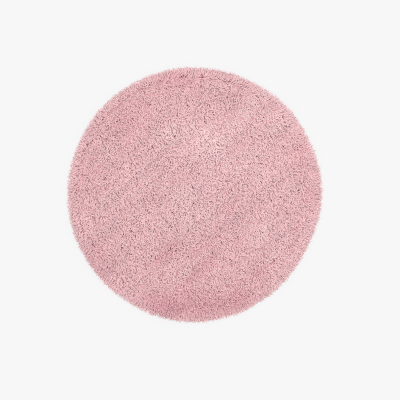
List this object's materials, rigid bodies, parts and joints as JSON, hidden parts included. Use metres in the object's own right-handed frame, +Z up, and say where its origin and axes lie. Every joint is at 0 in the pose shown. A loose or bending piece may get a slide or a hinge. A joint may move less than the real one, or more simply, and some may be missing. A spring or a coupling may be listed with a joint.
{
  "type": "round shag rug",
  "caption": "Round shag rug with a deep, even pile of soft curly yarn that falls outwards in loose locks at its rim. Lies flat on a floor.",
  "frame": {"origin": "middle of the flat underside, which rests on the floor", "axes": "+Z is up, out of the pile; +X is to the right and +Y to the top of the picture, which looks straight down"},
  "size_m": [1.2097, 1.2109, 0.042],
  "materials": {
    "shag_yarn": "matt curly pile of twisted synthetic yarn in dusty rose pink"
  },
  "bodies": {
    "root": {"shag_rug": "shag_yarn"}
  },
  "joints": []
}
